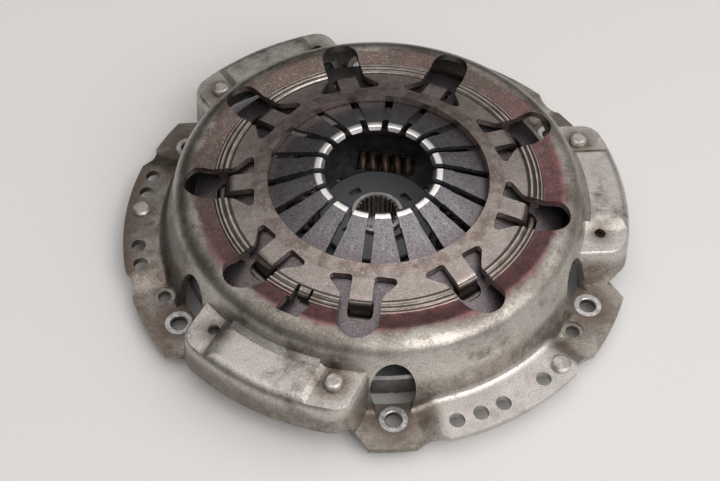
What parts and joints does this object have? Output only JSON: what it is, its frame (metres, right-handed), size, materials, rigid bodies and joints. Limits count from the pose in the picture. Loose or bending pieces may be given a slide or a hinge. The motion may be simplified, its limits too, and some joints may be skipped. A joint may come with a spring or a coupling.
{
  "type": "clutch pressure plate",
  "caption": "Diaphragm spring clutch: stamped cover with strap-driven pressure plate on a sprung, splined driven plate, bolted to a flywheel.",
  "frame": {"origin": "centre of the flywheel mounting face: the underside of the six bolt pads, on the clutch's axis", "axes": "+Z along the clutch's axis to the gearbox side; +X through the middle of one strap bulge"},
  "size_m": [0.3017, 0.305, 0.0603],
  "materials": {
    "cover_steel": "stamped sheet with a dull grey-brown skin",
    "spring_steel": "dark spring steel, fingertips ground bright",
    "ring_wire": "dull drawn wire",
    "plate_iron": "turned casting",
    "strap_steel": "rolled strip",
    "rivet_steel": "upset heads, light wear",
    "disc_steel": "dark oiled sheet",
    "coil_steel": "rust-brown wire",
    "hub_steel": "light grey, machined",
    "friction": "dark grey-brown friction lining",
    "washer": "dull"
  },
  "bodies": {
    "cover_assembly": {"cover": "cover_steel", "balance_rivets": "rivet_steel", "pivot_ring": "ring_wire", "diaphragm_spring": "spring_steel", "drive_straps_1": "strap_steel", "drive_straps_2": "strap_steel", "drive_straps_3": "strap_steel", "strap_cover_rivets": "rivet_steel"},
    "plate": {"pressure_plate": "plate_iron", "strap_plate_rivets": "rivet_steel"},
    "disc": {"disc_retainer_plate": "disc_steel", "disc_drive_plate": "disc_steel", "disc_damper_springs": "coil_steel", "disc_stop_pins": "disc_steel", "disc_friction_washers": "washer", "disc_centring_bush": "washer", "disc_hub_cover": "disc_steel", "disc_cushion_plate": "disc_steel", "disc_facing_plate_side": "friction", "disc_facing_flywheel_side": "friction", "disc_facing_rivets": "rivet_steel"},
    "hub": {"disc_hub": "hub_steel"}
  },
  "joints": [
    {"name": "plate_lift", "type": "slide", "parent": "cover_assembly", "child": "plate", "axis": [0, 0, 1], "range_m": [0, 0.0037], "stiffness_N_per_m": 20000, "springref_m": -0.002, "deforming": ["diaphragm_spring", "drive_straps_1", "drive_straps_2", "drive_straps_3"]},
    {"name": "disc_spin", "type": "hinge", "parent": "cover_assembly", "child": "disc", "pos_m": [0, 0, 0.001], "axis": [0, 0, 1], "continuous": true},
    {"name": "damper_windup", "type": "hinge", "parent": "disc", "child": "hub", "pos_m": [0, 0, 0.001], "axis": [0, 0, 1], "range_deg": [-5, 5], "stiffness_Nm_per_rad": 5}
  ]
}
